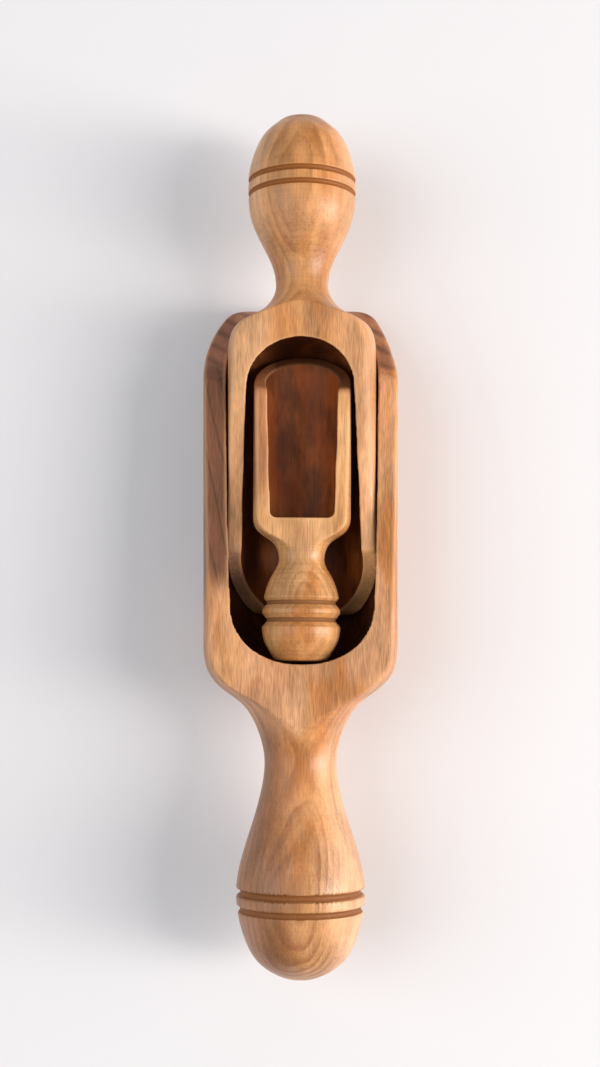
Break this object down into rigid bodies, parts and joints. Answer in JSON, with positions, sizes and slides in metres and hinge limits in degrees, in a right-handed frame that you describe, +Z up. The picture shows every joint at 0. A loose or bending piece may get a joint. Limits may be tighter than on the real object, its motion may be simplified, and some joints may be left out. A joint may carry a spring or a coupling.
{
  "type": "nested wooden scoops",
  "caption": "Nest of turned wooden scoops for dry food: bulb handles, slim necks and open bored bowls, each lying in the next larger one, turned end for end.",
  "frame": {"origin": "under the middle of the nest's length, on the surface that the large scoop lies on", "axes": "+Y along the nest, from the large scoop's handle towards the medium scoop's handle; +Z up, out of the open bowls"},
  "size_m": [0.0568, 0.2498, 0.0468],
  "materials": {
    "large_wood": "satin",
    "medium_wood": "satin",
    "small_wood": "satin"
  },
  "bodies": {
    "large": {"large_scoop": "large_wood"},
    "medium": {"medium_scoop": "medium_wood"},
    "small": {"small_scoop": "small_wood"}
  },
  "joints": [
    {"name": "medium_out", "type": "slide", "parent": "large", "child": "medium", "axis": [0, 1, 0], "range_m": [0, 0.1]},
    {"name": "small_lift", "type": "slide", "parent": "medium", "child": "small", "axis": [0, 0, 1], "range_m": [0, 0.06]}
  ]
}
